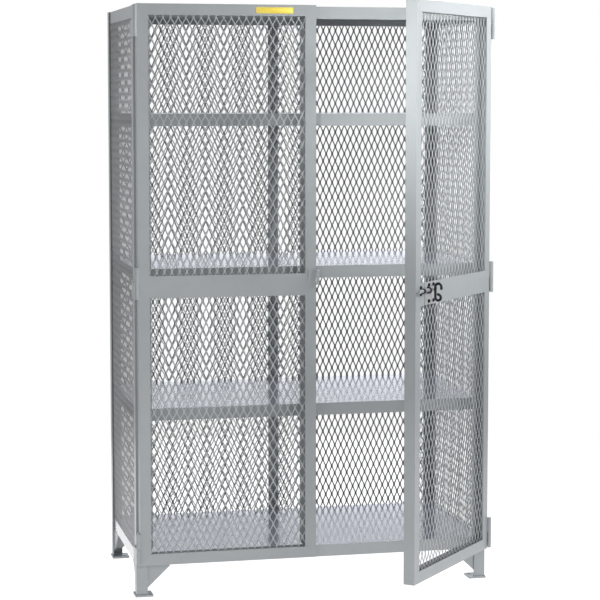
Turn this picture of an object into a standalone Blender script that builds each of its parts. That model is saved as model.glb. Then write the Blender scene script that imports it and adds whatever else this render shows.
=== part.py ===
"""Welded steel storage cabinet with expanded-metal walls, four shelves and two hinged mesh doors.

Everything is drawn in the cabinet's own corner frame: X runs right and Y runs back from the outer
front corner of the front left post, and Z runs up from the floor. One parent empty then moves the
whole cabinet so that the middle of its footprint, open door included, stands on the origin.
Each door hangs from an empty on its hinge axis, and the right door is turned open there.
"""

import math

import bmesh
import bpy
from mathutils import Vector
from mathutils.geometry import delaunay_2d_cdt

# Width and depth of the welded frame, and the height of the doors, which stand a little above it
WIDTH = 1.226
DEPTH = 0.629
HEIGHT = 1.981
FRAME_DROP = 0.003

# Clearance between pieces that touch, and how far a cutter runs past what it cuts
FIT_GAP = 0.0003
OVERRUN = 0.002

# Corner posts of angle iron
POST_LEG = 0.038
POST_THICKNESS = 0.0048

# Foot pads, with one anchor hole each
PAD_SIZE = 0.0605
PAD_THICKNESS = 0.0064
PAD_OVERHANG = 0.004
PAD_HOLE_DIAMETER = 0.0143
PAD_HOLE_INSET = 0.0465

# Gussets between the legs and the bottom shelf
GUSSET_REACH = 0.076
GUSSET_THICKNESS = 0.0048
GUSSET_BLUNT_END = 0.004

# Top and shelves: sheet pans with lips turned down. The shares are of the height above the bottom shelf.
PAN_SHEET = 0.0027
PAN_LIP = 0.041
BOTTOM_SHELF_TOP = 0.146
SHELF_TOP_SHARES = {"lower": 0.2676, "middle": 0.5237, "upper": 0.8038}

# Flat bar up the middle of the back
BACK_BAR_WIDTH = 0.038
BACK_BAR_OFFSET = 0.007

# Expanded metal. The real diamonds are 24 mm by 53 mm: here they are drawn larger, in the same pattern.
MESH_THICKNESS = 0.0025
MESH_PITCH_ACROSS = 0.118
MESH_PITCH_UP = 0.215
MESH_STRAND = 0.012
MESH_RIM = 0.01

# Doors: a frame of open channel, with a deeper back leg on the stiles
DOOR_GAP_TO_POST = 0.0072
DOOR_DEPTH = 0.038
DOOR_STEEL = 0.0048
DOOR_FACE_LEG = 0.0375
DOOR_BACK_LEG = 0.048
DOOR_BOTTOM = 0.1165
DOOR_CENTRE_GAP = 0.0076
LOCK_PLATE_HEIGHT = 0.0735
LOCK_PLATE_CENTRE_SHARE = 0.5004

# Barrel hinges: the upper barrel is on the door, the lower one on the post
BARREL_RADIUS = 0.00635
HINGE_PROUD = 0.005
HINGE_LENGTH = 0.105
HINGE_BARREL_GAP = 0.0006
HINGE_END_INSET = 0.003
HINGE_MIDDLE_RISE = 0.0135
HINGE_LEAF = 0.0045
DOOR_LEAF_LENGTH = 0.028
POST_LEAF_LAP = 0.03
PIN_RADIUS = 0.0032
PIN_SHARE = 0.8

# Latch on the right door. Distances along the door are counted from its free edge.
ROD_RISE = 0.012
ROD_RADIUS = 0.0055
ROD_LENGTH = 0.122
ROD_INSET = 0.0013
ROD_CLEARANCE = 0.0005
ROD_CHAMFER = 0.0012
LATCH_PLATE_WIDTH = 0.074
LATCH_PLATE_HEIGHT = 0.07
LATCH_PLATE_THICKNESS = 0.0032
LATCH_PLATE_INSET = 0.066
LATCH_BOLT_SPACING_ACROSS = 0.035
LATCH_BOLT_SPACING_UP = 0.052
LATCH_BOLT_SHIFT = 0.005
LATCH_BOLT_RISE = 0.002
LATCH_BOLT_RADIUS = 0.0024
STAPLE_INSET = 0.0788
STAPLE_WIRE_RADIUS = 0.0025
STAPLE_HALF_HEIGHT = 0.0088
STAPLE_REACH = 0.0216
GUIDE_INSET = 0.032
GUIDE_WIDTH = 0.011
GUIDE_STRAP = 0.0024
HANDLE_INSET = 0.108
HANDLE_WIRE_RADIUS = 0.0044
HANDLE_DROP = 0.0345
HANDLE_RISE = 0.0195
HOOK_RADIUS = 0.0105
HOOK_TAIL = 0.0085
EYE_RADIUS = 0.0095
EYE_OPEN_DEG = 76.0

# Keeper loop on the left door
KEEPER_PLATE_WIDTH = 0.034
KEEPER_PLATE_THICKNESS = 0.0024
KEEPER_HEIGHT = 0.05
KEEPER_STRAP = 0.0042
KEEPER_STRAP_WIDTH = 0.009
KEEPER_REACH = 0.0205
KEEPER_PAST_EDGE = 0.0064
KEEPER_ROD_DROP = 0.0125
KEEPER_CORNER = 0.006

# The right door's rest position, as it stands in the photograph
RIGHT_DOOR_OPEN_DEG = 49.0

# Facets
BARREL_SIDES = 16
BORE_SIDES = 12
ROD_SIDES = 14
WIRE_SIDES = 8
BOLT_SIDES = 6
HOLE_SIDES = 16
ARC_STEPS = 8

# Places that follow from the sizes above
FRAME_TOP = HEIGHT - FRAME_DROP
SIDE_LAYER = POST_THICKNESS + FIT_GAP
SHELF_INSET = SIDE_LAYER + MESH_THICKNESS + FIT_GAP
DOOR_FACE_Y = -(DOOR_GAP_TO_POST + DOOR_DEPTH)
HINGE_Y = DOOR_FACE_Y - HINGE_PROUD
DOOR_SIDE_INSET = BARREL_RADIUS + FIT_GAP
DOOR_WIDTH = WIDTH / 2 - DOOR_CENTRE_GAP / 2 - DOOR_SIDE_INSET
DOOR_REACH = DOOR_SIDE_INSET + DOOR_WIDTH
LOCK_PLATE_CENTRE = DOOR_BOTTOM + LOCK_PLATE_CENTRE_SHARE * (HEIGHT - DOOR_BOTTOM)
ROD_HEIGHT = LOCK_PLATE_CENTRE + ROD_RISE
KNUCKLE_LENGTH = (HINGE_LENGTH - HINGE_BARREL_GAP) / 2
ROD_PROUD = LATCH_PLATE_THICKNESS + FIT_GAP + ROD_CLEARANCE + ROD_RADIUS
HINGE_HEIGHTS = {
    "bottom": DOOR_BOTTOM + HINGE_END_INSET + HINGE_LENGTH / 2,
    "middle": LOCK_PLATE_CENTRE + HINGE_MIDDLE_RISE,
    "top": HEIGHT - HINGE_END_INSET - HINGE_LENGTH / 2,
}

# Surface colours: (red, green, blue), metallic, roughness
FINISHES = {
    "grey_paint": ((0.33, 0.36, 0.37), 0.0, 0.45),
    "door_paint": ((0.37, 0.40, 0.41), 0.0, 0.4),
    "shelf_paint": ((0.42, 0.43, 0.48), 0.0, 0.5),
    "mesh_paint": ((0.36, 0.38, 0.38), 0.0, 0.45),
    "zinc": ((0.62, 0.62, 0.6), 1.0, 0.35),
    "black_steel": ((0.02, 0.02, 0.022), 0.6, 0.4),
    "pin_steel": ((0.5, 0.5, 0.5), 1.0, 0.3),
}


def clear_scene():
    for item in list(bpy.data.objects):
        bpy.data.objects.remove(item, do_unlink=True)


def painted(node, finish):
    """A material of the node's own, in one of the finishes."""
    colour, metallic, roughness = FINISHES[finish]
    material = bpy.data.materials.new(node + "_" + finish)
    material.use_nodes = True
    shader = material.node_tree.nodes["Principled BSDF"]
    shader.inputs["Base Color"].default_value = (*colour, 1.0)
    shader.inputs["Metallic"].default_value = metallic
    shader.inputs["Roughness"].default_value = roughness
    material.diffuse_color = (*colour, 1.0)
    return material


def empty(name, parent, location):
    item = bpy.data.objects.new(name, None)
    item.parent = parent
    item.location = location
    bpy.context.collection.objects.link(item)
    return item


def add(node, shape, finish, parent, smooth_deg=0):
    """Makes one named object of a bmesh, with its faces turned outwards."""
    bmesh.ops.recalc_face_normals(shape, faces=shape.faces)
    mesh = bpy.data.meshes.new(node)
    shape.to_mesh(mesh)
    shape.free()
    if smooth_deg:
        mesh.shade_smooth()
        mesh.set_sharp_from_angle(angle=math.radians(smooth_deg))
    item = bpy.data.objects.new(node, mesh)
    item.parent = parent
    mesh.materials.append(painted(node, finish))
    bpy.context.collection.objects.link(item)
    return item


def combine(target, other_shape, operation, label):
    """Cuts other_shape out of the target, or joins it on, with a Boolean modifier."""
    bmesh.ops.recalc_face_normals(other_shape, faces=other_shape.faces)
    mesh = bpy.data.meshes.new(target.name + "_" + label)
    other_shape.to_mesh(mesh)
    other_shape.free()
    tool = bpy.data.objects.new(target.name + "_" + label, mesh)
    tool.parent = target.parent
    tool.hide_render = True
    tool.display_type = "WIRE"
    bpy.context.collection.objects.link(tool)
    modifier = target.modifiers.new(label, "BOOLEAN")
    modifier.operation = operation
    modifier.solver = "EXACT"
    modifier.object = tool


def loft(shape, sections):
    """Closed solid through sections of equally many points, with a flat cap at either end."""
    rings = [[shape.verts.new(point) for point in section] for section in sections]
    count = len(rings[0])
    for lower, upper in zip(rings, rings[1:]):
        for k in range(count):
            m = (k + 1) % count
            shape.faces.new((lower[k], lower[m], upper[m], upper[k]))
    shape.faces.new(rings[0][::-1])
    shape.faces.new(rings[-1])


def solid(*stacks):
    shape = bmesh.new()
    for sections in stacks:
        loft(shape, sections)
    return shape


def box(low, high):
    corners = [(low[0], low[1]), (high[0], low[1]), (high[0], high[1]), (low[0], high[1])]
    return [[(x, y, z) for x, y in corners] for z in (low[2], high[2])]


def upright(outline, low_z, high_z):
    """A plan outline of (x, y) points drawn up from low_z to high_z."""
    return [[(x, y, z) for x, y in outline] for z in (low_z, high_z)]


def circle(radius, sides, centre=(0, 0)):
    turns = [2 * math.pi * k / sides for k in range(sides)]
    return [(centre[0] + radius * math.cos(t), centre[1] + radius * math.sin(t)) for t in turns]


def wire(path, radius, sides):
    """Sections of a round wire along a path that lies in one plane x = constant."""
    across = Vector((1, 0, 0))
    sections = []
    for k, point in enumerate(path):
        before = path[max(k - 1, 0)]
        after = path[min(k + 1, len(path) - 1)]
        up = across.cross((after - before).normalized())
        turns = [2 * math.pi * s / sides for s in range(sides)]
        sections.append([point + radius * (math.cos(t) * across + math.sin(t) * up) for t in turns])
    return sections


def arc(centre, radius, start_deg, end_deg, steps):
    """Points (y, z) on an arc."""
    angles = [math.radians(start_deg + (end_deg - start_deg) * k / steps) for k in range(steps + 1)]
    return [(centre[0] + radius * math.cos(a), centre[1] + radius * math.sin(a)) for a in angles]


# Frame


def corner_places():
    """The four corners by name: their outer corner and the directions that point inwards."""
    for depth_name, y, inward_y in (("front", 0, 1), ("back", DEPTH, -1)):
        for side_name, x, inward_x in (("left", 0, 1), ("right", WIDTH, -1)):
            yield depth_name + "_" + side_name, Vector((x, y)), inward_x, inward_y


def post(corner, inward_x, inward_y):
    """An angle-iron post: one leg across the front or back, one leg along the side."""
    legs = (
        (0, 0),
        (POST_LEG, 0),
        (POST_LEG, POST_THICKNESS),
        (POST_THICKNESS, POST_THICKNESS),
        (POST_THICKNESS, POST_LEG),
        (0, POST_LEG),
    )
    outline = [(corner.x + inward_x * a, corner.y + inward_y * b) for a, b in legs]
    return solid(upright(outline, PAD_THICKNESS + FIT_GAP, FRAME_TOP))


def foot_pad(corner, inward_x, inward_y):
    near = -PAD_OVERHANG
    far = PAD_SIZE - PAD_OVERHANG
    outline = [(near, near), (far, near), (far, far), (near, far)]
    outline = [(corner.x + inward_x * a, corner.y + inward_y * b) for a, b in outline]
    return solid(upright(outline, 0, PAD_THICKNESS))


def pad_hole(corner, inward_x, inward_y):
    inset = PAD_HOLE_INSET - PAD_OVERHANG
    centre = (corner.x + inward_x * inset, corner.y + inward_y * inset)
    outline = circle(PAD_HOLE_DIAMETER / 2, HOLE_SIDES, centre)
    return solid(upright(outline, -OVERRUN, PAD_THICKNESS + OVERRUN))


def gussets(corner, inward_x, inward_y):
    """Two triangular plates below the bottom shelf: one along the front or back, one along the side."""
    top = BOTTOM_SHELF_TOP - PAN_LIP - FIT_GAP
    tip = top - GUSSET_REACH
    far = POST_LEG + GUSSET_REACH
    near = SIDE_LAYER
    behind = near + GUSSET_THICKNESS

    def plate(start):
        return ((start, tip), (POST_LEG, tip), (far, top - GUSSET_BLUNT_END), (far, top), (start, top))

    def at(a, b, z):
        return (corner.x + inward_x * a, corner.y + inward_y * b, z)

    yield "end", solid([[at(a, b, z) for a, z in plate(near)] for b in (near, behind)])
    start = behind + FIT_GAP
    yield "side", solid([[at(a, b, z) for b, z in plate(start)] for a in (near, behind)])


def pan(node, inset_side, inset_back, top, parent):
    """A shelf or the top: a sheet with all four lips turned down, open underneath."""
    low = (inset_side, SIDE_LAYER, top - PAN_LIP)
    high = (WIDTH - inset_side, DEPTH - inset_back, top)
    shape = solid(box(low, high))
    shape.faces.ensure_lookup_table()
    underside = [face for face in shape.faces if face.calc_center_median().z < top - PAN_LIP * 0.75]
    bmesh.ops.delete(shape, geom=underside, context="FACES_ONLY")
    item = add(node, shape, "shelf_paint" if "shelf" in node else "grey_paint", parent)
    sheet = item.modifiers.new("sheet", "SOLIDIFY")
    sheet.thickness = PAN_SHEET
    sheet.offset = -1
    sheet.use_even_offset = True
    return item


# Expanded metal


def diamond_holes(width, height):
    """Outlines of the diamond holes of a sheet. Those on the rim's inner edge are halves and quarters."""
    across = max(1, round((width - 2 * MESH_RIM) / MESH_PITCH_ACROSS))
    up = max(1, round((height - 2 * MESH_RIM) / MESH_PITCH_UP))
    half_x = (width - 2 * MESH_RIM) / across / 2
    half_y = (height - 2 * MESH_RIM) / up / 2
    left_over = 1 - MESH_STRAND / 2 * math.hypot(1 / half_x, 1 / half_y)
    for row in range(2 * up + 1):
        for column in range(2 * across + 1):
            if (row + column) % 2:
                continue
            centre = Vector((MESH_RIM + column * half_x, MESH_RIM + row * half_y))
            outline = []
            if column < 2 * across:
                outline.append(centre + Vector((half_x * left_over, 0)))
            if row < 2 * up:
                outline.append(centre + Vector((0, half_y * left_over)))
            if column > 0:
                outline.append(centre - Vector((half_x * left_over, 0)))
            if row > 0:
                outline.append(centre - Vector((0, half_y * left_over)))
            if len(outline) == 2:
                outline.append(centre)
            yield outline


def expanded_sheet(width, height, place):
    """One flat sheet of expanded metal. place turns (across, up, through) into a point."""
    points = [Vector(p) for p in ((0, 0), (width, 0), (width, height), (0, height))]
    loops = [list(range(len(points)))]
    hole_of = [None] * len(points)
    for number, outline in enumerate(diamond_holes(width, height)):
        loops.append(list(range(len(points), len(points) + len(outline))))
        points.extend(outline)
        hole_of.extend([number] * len(outline))
    edges = [(loop[k], loop[(k + 1) % len(loop)]) for loop in loops for k in range(len(loop))]
    flat, _, triangles, sources, *_ = delaunay_2d_cdt(points, edges, [], 0, FIT_GAP / 1000)
    shape = bmesh.new()
    verts = [shape.verts.new(place(p.x, p.y, 0)) for p in flat]
    for corners in triangles:
        holes = {hole_of[sources[k][0]] for k in corners}
        if len(holes) > 1 or None in holes:
            shape.faces.new([verts[k] for k in corners])
    thick = bmesh.ops.extrude_face_region(shape, geom=shape.faces[:], use_keep_orig=True)
    through = place(0, 0, MESH_THICKNESS) - place(0, 0, 0)
    moved = [item for item in thick["geom"] if isinstance(item, bmesh.types.BMVert)]
    bmesh.ops.translate(shape, verts=moved, vec=through)
    return shape


# Doors, drawn closed from the hinge axis: u runs from the hinge edge to the free edge, v back from the face


def door_channel(back_leg):
    """Section of the door frame as (distance from the door's outer edge, distance back from its face)."""
    return (
        (0, 0),
        (DOOR_FACE_LEG, 0),
        (DOOR_FACE_LEG, DOOR_STEEL),
        (DOOR_STEEL, DOOR_STEEL),
        (DOOR_STEEL, DOOR_DEPTH - DOOR_STEEL),
        (back_leg, DOOR_DEPTH - DOOR_STEEL),
        (back_leg, DOOR_DEPTH),
        (0, DOOR_DEPTH),
    )


class Door:
    """One door: which way it runs from its hinge, and the empty that it turns on."""

    def __init__(self, name, hinge_x, direction, parent):
        self.name = name
        self.direction = direction
        self.pivot = empty(name + "_pivot", parent, (hinge_x, HINGE_Y, 0))

    def at(self, u, v, z):
        return Vector((self.direction * (DOOR_SIDE_INSET + u), HINGE_PROUD + v, z))

    def add(self, label, shape, finish, smooth_deg=0):
        return add(self.name + "_" + label, shape, finish, self.pivot, smooth_deg)

    def stile(self, from_hinge):
        """A stile, mitred at both ends: face leg, outer web and a deeper back leg."""
        profile = door_channel(DOOR_BACK_LEG)
        ends = []
        for low in (True, False):
            section = []
            for a, v in profile:
                u = a if from_hinge else DOOR_WIDTH - a
                z = DOOR_BOTTOM + a if low else HEIGHT - a
                section.append(self.at(u, v, z))
            ends.append(section)
        return solid(ends)

    def rail(self, at_top):
        """A rail, mitred at both ends: face leg, outer web and a back leg as deep as the face leg."""
        profile = door_channel(DOOR_FACE_LEG)
        mitre_gap = FIT_GAP * math.sqrt(2)
        ends = []
        for near_hinge in (True, False):
            section = []
            for a, v in profile:
                u = a + mitre_gap if near_hinge else DOOR_WIDTH - a - mitre_gap
                z = HEIGHT - a if at_top else DOOR_BOTTOM + a
                section.append(self.at(u, v, z))
            ends.append(section)
        return solid(ends)

    def lock_plate(self):
        near = DOOR_FACE_LEG + FIT_GAP
        low = self.at(near, 0, LOCK_PLATE_CENTRE - LOCK_PLATE_HEIGHT / 2)
        high = self.at(DOOR_WIDTH - near, DOOR_STEEL, LOCK_PLATE_CENTRE + LOCK_PLATE_HEIGHT / 2)
        return solid(box(low, high))

    def mesh(self):
        edge = DOOR_STEEL + FIT_GAP
        width = DOOR_WIDTH - 2 * edge
        height = HEIGHT - DOOR_BOTTOM - 2 * edge
        low = DOOR_BOTTOM + edge
        return expanded_sheet(width, height, lambda a, b, c: self.at(edge + a, edge + c, low + b))

    def leaf_outline(self):
        """The door half of a hinge in plan: a barrel with a leaf tangent to it, against the door's edge."""
        inner = BARREL_RADIUS - HINGE_LEAF
        meet = math.degrees(math.acos(inner / BARREL_RADIUS))
        steps = BARREL_SIDES * 3 // 4
        outline = arc((0, 0), BARREL_RADIUS, meet - 360, 0, steps)
        length = HINGE_PROUD + DOOR_LEAF_LENGTH
        outline += [(BARREL_RADIUS, length), (inner, length)]
        return [(self.direction * x, y) for x, y in outline]

    def build_frame(self):
        self.add("hinge_stile", self.stile(True), "door_paint")
        self.add("lock_stile", self.stile(False), "door_paint")
        self.add("top_rail", self.rail(True), "door_paint")
        self.add("bottom_rail", self.rail(False), "door_paint")
        self.add("mesh", self.mesh(), "mesh_paint")

    def build_hinges(self):
        for label, height in HINGE_HEIGHTS.items():
            low = height + HINGE_BARREL_GAP / 2
            outline = self.leaf_outline()
            barrel = solid(upright(outline, low, low + KNUCKLE_LENGTH))
            half = self.add("hinge_" + label, barrel, "door_paint", 40)
            bore = circle(PIN_RADIUS + FIT_GAP, BORE_SIDES)
            depth = KNUCKLE_LENGTH * PIN_SHARE + FIT_GAP
            combine(half, solid(upright(bore, low - OVERRUN, low + depth)), "DIFFERENCE", "bore")


def post_hinges(side_name, hinge_x, outward, parent):
    """The fixed half of each hinge on one side: a barrel with its pin, and a leaf on the post's side."""
    centre = Vector((hinge_x, HINGE_Y))
    near = FIT_GAP
    far = FIT_GAP + HINGE_LEAF
    near_deg = math.degrees(math.acos(near / BARREL_RADIUS))
    far_deg = math.degrees(math.acos(far / BARREL_RADIUS))
    ring = arc((0, 0), BARREL_RADIUS, far_deg, near_deg - 360, BARREL_SIDES - 2)
    length = -HINGE_Y + POST_LEAF_LAP
    plan = ring + [(near, length), (far, length)]
    outline = [(centre.x + outward * x, centre.y + y) for x, y in plan]
    for label, height in HINGE_HEIGHTS.items():
        high = height - HINGE_BARREL_GAP / 2
        low = high - KNUCKLE_LENGTH
        node = side_name + "_post_hinge_" + label
        half = add(node, solid(upright(outline, low, high)), "grey_paint", parent, 40)
        pin = circle(PIN_RADIUS, BORE_SIDES, centre)
        head = height + HINGE_BARREL_GAP / 2 + KNUCKLE_LENGTH * PIN_SHARE
        combine(half, solid(upright(pin, high - OVERRUN, head)), "UNION", "pin")


# Latch, on the right door's face. proud runs out of the face, against v.


def latch_bolt_places():
    """(distance from the free edge, height) of the four bolts that hold the latch plate."""
    middle = LATCH_PLATE_INSET + LATCH_PLATE_WIDTH / 2 + LATCH_BOLT_SHIFT
    for side in (-1, 1):
        for level in (-1, 1):
            inset = middle + side * LATCH_BOLT_SPACING_ACROSS / 2
            yield inset, LOCK_PLATE_CENTRE + LATCH_BOLT_RISE + level * LATCH_BOLT_SPACING_UP / 2


def through_face(door, inset, height, stations, sides):
    """A turned piece square to the door's face. stations are (proud, radius) from the front to the back."""
    sections = []
    for proud, radius in stations:
        ring = circle(radius, sides, (inset, height))
        sections.append([door.at(DOOR_WIDTH - a, -proud, z) for a, z in ring])
    return sections


def latch_plate(door):
    low_z = LOCK_PLATE_CENTRE - LATCH_PLATE_HEIGHT / 2
    high_z = LOCK_PLATE_CENTRE + LATCH_PLATE_HEIGHT / 2
    near = door.at(DOOR_WIDTH - LATCH_PLATE_INSET, -FIT_GAP, low_z)
    far = door.at(
        DOOR_WIDTH - LATCH_PLATE_INSET - LATCH_PLATE_WIDTH, -FIT_GAP - LATCH_PLATE_THICKNESS, high_z
    )
    plate = door.add("latch_plate", solid(box(near, far)), "zinc")
    combine(plate, bolt_holes(door), "DIFFERENCE", "holes")


def bolt_holes(door):
    radius = LATCH_BOLT_RADIUS + FIT_GAP
    front = LATCH_PLATE_THICKNESS + OVERRUN
    back = -DOOR_STEEL - OVERRUN
    ends = ((front, radius), (back, radius))
    return solid(*(through_face(door, a, z, ends, WIRE_SIDES) for a, z in latch_bolt_places()))


def latch_staple(door):
    """A round staple welded to the latch plate, which the rod runs through."""
    seat = LATCH_PLATE_THICKNESS + 2 * FIT_GAP
    bend = STAPLE_REACH - STAPLE_WIRE_RADIUS - STAPLE_HALF_HEIGHT
    legs = [(seat, ROD_HEIGHT - STAPLE_HALF_HEIGHT)]
    legs += arc((bend, ROD_HEIGHT), STAPLE_HALF_HEIGHT, -90, 90, ARC_STEPS)
    legs += [(seat, ROD_HEIGHT + STAPLE_HALF_HEIGHT)]
    path = [door.at(DOOR_WIDTH - STAPLE_INSET, -proud, z) for proud, z in legs]
    door.add("latch_staple", solid(wire(path, STAPLE_WIRE_RADIUS, WIRE_SIDES)), "zinc", 50)


def latch_guide(door):
    """A bent strap on the lock stile that the rod's nose runs through."""
    inner = ROD_RADIUS + ROD_CLEARANCE
    outer = inner + GUIDE_STRAP
    strap = [(FIT_GAP, ROD_HEIGHT - outer)]
    strap += arc((ROD_PROUD, ROD_HEIGHT), outer, -90, 90, ARC_STEPS)
    strap += [(FIT_GAP, ROD_HEIGHT + outer), (FIT_GAP, ROD_HEIGHT + inner)]
    strap += arc((ROD_PROUD, ROD_HEIGHT), inner, 90, -90, ARC_STEPS)
    strap += [(FIT_GAP, ROD_HEIGHT - inner)]
    near = DOOR_WIDTH - GUIDE_INSET
    sections = [[door.at(u, -proud, z) for proud, z in strap] for u in (near, near - GUIDE_WIDTH)]
    door.add("latch_guide", solid(sections), "zinc", 50)


def latch_rod(door, parent):
    """The sliding rod, with a chamfered nose and tail."""
    ends = (ROD_INSET, ROD_INSET + ROD_LENGTH)
    stations = (
        (ends[0], ROD_RADIUS - ROD_CHAMFER),
        (ends[0] + ROD_CHAMFER, ROD_RADIUS),
        (ends[1] - ROD_CHAMFER, ROD_RADIUS),
        (ends[1], ROD_RADIUS - ROD_CHAMFER),
    )
    sections = []
    for inset, radius in stations:
        ring = circle(radius, ROD_SIDES, (ROD_PROUD, ROD_HEIGHT))
        sections.append([door.at(DOOR_WIDTH - inset, -proud, z) for proud, z in ring])
    add("latch_rod", solid(sections), "zinc", parent, 40)


def latch_handle(door, parent):
    """The black bar welded across the rod: an open hook at its top and a padlock eye at its foot."""
    proud = ROD_PROUD + ROD_RADIUS + FIT_GAP + HANDLE_WIRE_RADIUS
    top = ROD_HEIGHT + HANDLE_RISE
    foot = ROD_HEIGHT - HANDLE_DROP
    eye_z = foot + EYE_RADIUS
    eye_y = proud + EYE_RADIUS
    hook_z = top - HOOK_RADIUS
    outline = [(proud + 2 * HOOK_RADIUS, hook_z - HOOK_TAIL)]
    outline += arc((proud + HOOK_RADIUS, hook_z), HOOK_RADIUS, 0, 180, ARC_STEPS)
    outline += arc((eye_y, eye_z), EYE_RADIUS, 180, 540 - EYE_OPEN_DEG, 2 * ARC_STEPS)
    path = [door.at(DOOR_WIDTH - HANDLE_INSET, -a, z) for a, z in outline]
    add("latch_handle", solid(wire(path, HANDLE_WIRE_RADIUS, WIRE_SIDES)), "black_steel", parent, 50)


def keeper(door):
    """The loop on the left door that the rod slides into: a small plate with a bent strap."""
    low_z = ROD_HEIGHT - KEEPER_ROD_DROP
    high_z = low_z + KEEPER_HEIGHT
    inner_edge = DOOR_WIDTH + KEEPER_PAST_EDGE - KEEPER_PLATE_WIDTH
    plate = box(
        door.at(inner_edge, -FIT_GAP, low_z), door.at(DOOR_WIDTH, -FIT_GAP - KEEPER_PLATE_THICKNESS, high_z)
    )
    item = door.add("keeper", solid(plate), "grey_paint", 50)

    def bent(offset):
        """The strap's outer or inner line, from its lower leg round to its upper leg."""
        radius = KEEPER_CORNER - offset
        reach = KEEPER_REACH - KEEPER_CORNER
        lower = arc((reach, low_z + KEEPER_CORNER), radius, -90, 0, ARC_STEPS // 2)
        upper = arc((reach, high_z - KEEPER_CORNER), radius, 0, 90, ARC_STEPS // 2)
        foot = FIT_GAP + KEEPER_PLATE_THICKNESS / 2
        return [(foot, low_z + offset)] + lower + upper + [(foot, high_z - offset)]

    strap = bent(0) + bent(KEEPER_STRAP)[::-1]
    edges = (DOOR_WIDTH + KEEPER_PAST_EDGE, DOOR_WIDTH + KEEPER_PAST_EDGE - KEEPER_STRAP_WIDTH)
    sections = [[door.at(u, -proud, z) for proud, z in strap] for u in edges]
    combine(item, solid(sections), "UNION", "strap")


# Assembly


def footprint_middle():
    """Where the middle of the footprint lies, from the rod's nose on the open door to the back pads."""
    angle = math.radians(RIGHT_DOOR_OPEN_DEG)
    along = DOOR_REACH - ROD_INSET
    proud = ROD_PROUD + ROD_RADIUS - ROD_CHAMFER
    front = HINGE_Y - along * math.sin(angle) + (HINGE_PROUD - proud) * math.cos(angle)
    back = DEPTH + PAD_OVERHANG
    return (front + back) / 2


def build_frame(cabinet):
    for name, corner, inward_x, inward_y in corner_places():
        add("post_" + name, post(corner, inward_x, inward_y), "grey_paint", cabinet)
        pad = add("foot_pad_" + name, foot_pad(corner, inward_x, inward_y), "grey_paint", cabinet)
        combine(pad, pad_hole(corner, inward_x, inward_y), "DIFFERENCE", "hole")
        for label, shape in gussets(corner, inward_x, inward_y):
            add("gusset_" + name + "_" + label, shape, "grey_paint", cabinet)
    bar_x = WIDTH / 2 - BACK_BAR_OFFSET
    low = (bar_x - BACK_BAR_WIDTH / 2, DEPTH - POST_THICKNESS, BOTTOM_SHELF_TOP - PAN_LIP)
    high = (bar_x + BACK_BAR_WIDTH / 2, DEPTH, FRAME_TOP)
    add("back_centre_bar", solid(box(low, high)), "grey_paint", cabinet)


def build_pans(cabinet):
    pan("top_pan", SIDE_LAYER, SIDE_LAYER, FRAME_TOP, cabinet)
    pan("bottom_shelf", SIDE_LAYER, SIDE_LAYER, BOTTOM_SHELF_TOP, cabinet)
    for name, share in SHELF_TOP_SHARES.items():
        top = BOTTOM_SHELF_TOP + share * (HEIGHT - BOTTOM_SHELF_TOP)
        pan(name + "_shelf", SHELF_INSET, SHELF_INSET, top, cabinet)


def build_walls(cabinet):
    """The side and back sheets, between the bottom shelf and the lip of the top."""
    foot = BOTTOM_SHELF_TOP + FIT_GAP
    height = FRAME_TOP - PAN_LIP - FIT_GAP - foot
    side_start = SIDE_LAYER
    side_width = DEPTH - 2 * SIDE_LAYER - MESH_THICKNESS - FIT_GAP

    def side(outer_x, inward):
        return lambda a, b, c: Vector((outer_x + inward * (SIDE_LAYER + c), side_start + a, foot + b))

    for name, outer_x, inward in (("left", 0, 1), ("right", WIDTH, -1)):
        shape = expanded_sheet(side_width, height, side(outer_x, inward))
        add("side_mesh_" + name, shape, "mesh_paint", cabinet)

    back_y = DEPTH - SIDE_LAYER
    joint_x = WIDTH / 2 - BACK_BAR_OFFSET
    left_span = (SIDE_LAYER, joint_x - FIT_GAP / 2)
    right_span = (joint_x + FIT_GAP / 2, WIDTH - SIDE_LAYER)
    for name, (start, end) in (("left", left_span), ("right", right_span)):
        shape = expanded_sheet(
            end - start, height, lambda a, b, c, x=start: Vector((x + a, back_y - c, foot + b))
        )
        add("back_mesh_" + name, shape, "mesh_paint", cabinet)


def build_doors(cabinet):
    left = Door("left_door", 0, 1, cabinet)
    left.build_frame()
    left.add("lock_plate", left.lock_plate(), "door_paint")
    left.build_hinges()
    keeper(left)

    right = Door("right_door", WIDTH, -1, cabinet)
    right.build_frame()
    plate = right.add("lock_plate", right.lock_plate(), "door_paint")
    combine(plate, bolt_holes(right), "DIFFERENCE", "holes")
    right.build_hinges()
    latch_plate(right)
    latch_staple(right)
    latch_guide(right)
    bolt_carrier = empty("latch_slide", right.pivot, (0, 0, 0))
    latch_rod(right, bolt_carrier)
    latch_handle(right, bolt_carrier)
    right.pivot.rotation_euler = (0, 0, math.radians(RIGHT_DOOR_OPEN_DEG))


def main():
    clear_scene()
    cabinet = empty("cabinet", None, (-WIDTH / 2, -footprint_middle(), 0))
    build_frame(cabinet)
    build_pans(cabinet)
    build_walls(cabinet)
    post_hinges("left", 0, -1, cabinet)
    post_hinges("right", WIDTH, 1, cabinet)
    build_doors(cabinet)


main()
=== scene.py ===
"""Looks of the welded mesh storage cabinet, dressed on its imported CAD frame."""

import math
from collections import namedtuple

import bmesh
import bpy
import numpy as np
from mathutils import Matrix, Vector


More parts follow.
